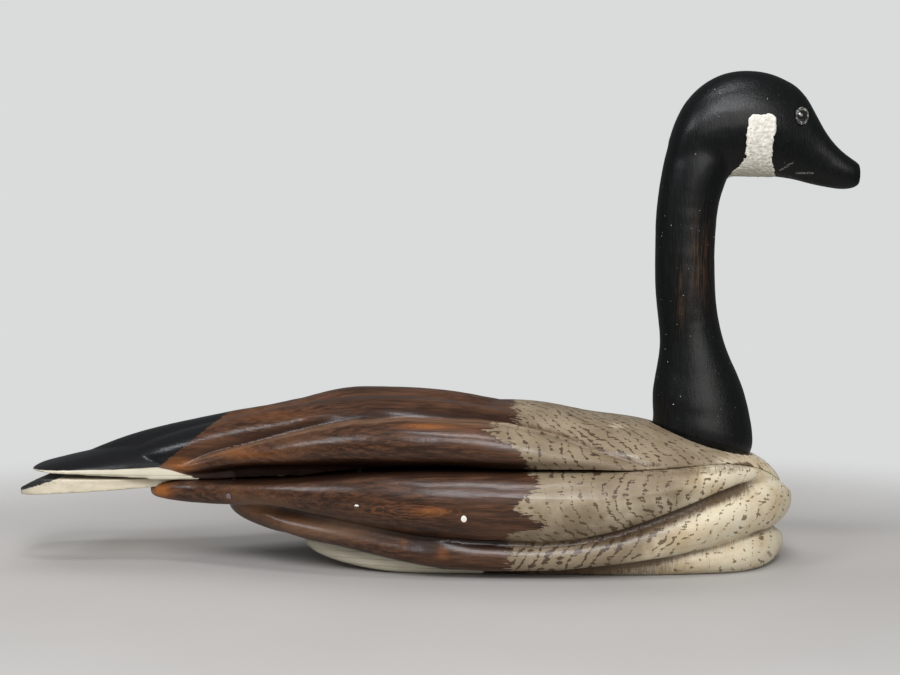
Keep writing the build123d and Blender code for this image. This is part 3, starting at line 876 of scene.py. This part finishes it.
def world():
    """Pale studio air: bright to the camera, soft as a light and dim in reflections, so that the
    gloss stays dark."""
    made = bpy.data.worlds.new("studio")
    made.use_nodes = True
    tree = made.node_tree
    seen = tree.nodes["Background"]
    seen.inputs["Color"].default_value = BACKGROUND
    felt = tree.nodes.new("ShaderNodeBackground")
    felt.inputs["Color"].default_value = AIR_TINT
    rays = tree.nodes.new("ShaderNodeLightPath").outputs
    strength = tree.nodes.new("ShaderNodeMath")
    strength.operation = "MULTIPLY_ADD"
    tree.links.new(rays["Is Diffuse Ray"], strength.inputs[0])
    strength.inputs[1].default_value = AIR_ON_MATT - AIR_IN_GLOSS
    strength.inputs[2].default_value = AIR_IN_GLOSS
    tree.links.new(strength.outputs[0], felt.inputs["Strength"])
    mix = tree.nodes.new("ShaderNodeMixShader")
    tree.links.new(rays["Is Camera Ray"], mix.inputs[0])
    tree.links.new(felt.outputs[0], mix.inputs[1])
    tree.links.new(seen.outputs[0], mix.inputs[2])
    tree.links.new(mix.outputs[0], tree.nodes["World Output"].inputs["Surface"])
    bpy.context.scene.world = made


def floor():
    """A round of pale paper that fades out into the studio's background."""
    half = FLOOR_HALF
    corners = [(-half, -half, 0), (half, -half, 0), (half, half, 0), (-half, half, 0)]
    mesh = bpy.data.meshes.new("floor")
    mesh.from_pydata(corners, [], [(0, 1, 2, 3)])
    paint = Paint("floor_paper", Specular_IOR_Level=0.2)
    cloud = paint.noise(160, 2.0)
    paint.finish(paint.blend(cloud, PAPER_DARK, PAPER_LIGHT), paint.between(cloud, 0.6, 0.7))
    x, y, _ = paint.split(paint.place)
    away = paint.vector("LENGTH", paint.join(paint.times(x, FLOOR_WIDENING), y, 0.0))
    paint.feed(paint.shader.inputs["Alpha"], paint.step(away, FLOOR_FADES_TO, FLOOR_FADES_FROM))
    piece = new_piece("floor", mesh, paint.material)


def dress(node, material):
    """Gives a CAD node its finished material."""
    mesh = frame["nodes"][node].data
    mesh.materials.clear()
    mesh.materials.append(material)


def block(name, node, material, shape, store):
    """One of the two big blocks of the body, carved and painted."""
    piece = carved_copy(name, node, material, BODY_VOXEL, BODY_TRIANGLES, shape)
    store(piece)
    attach(piece, "body")
    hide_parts(node)


def make():
    bpy.context.scene.view_settings.view_transform = "Standard"
    camera()
    lights()
    world()
    floor()
    skin = body_material("body_paint")
    block("carved_back", "back_block", skin, shape_back, paint_back)
    block("carved_breast", "breast_block", skin, shape_breast, paint_breast)
    board = carved_copy("carved_tail_board", "lower_tail_board", tail_material(), TAIL_VOXEL,
                        TAIL_TRIANGLES, shape_tail)
    paint_tail_board(board)
    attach(board, "body")
    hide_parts("lower_tail_board")
    head = carved_copy("carved_head", "head_and_neck", head_material(), HEAD_VOXEL,
                       HEAD_TRIANGLES, shape_head, neck_joins_head)
    paint_head(head)
    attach(head, "head")
    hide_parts("head_and_neck")
    patch = chin_patch(head, chin_material())
    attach(patch, "head")
    wood, glass, rim = bare_wood(), eye_glass(), eye_rim()
    for node in ("neck_dowel", "seam_dowels", "tail_dowels"):
        dress(node, wood)
    for side in ("left", "right"):
        dress("eye_" + side, glass)
        dress("eye_ring_" + side, rim)
    dress("seam_nails", nail_steel())
    dress("nail_putty", putty())


make()
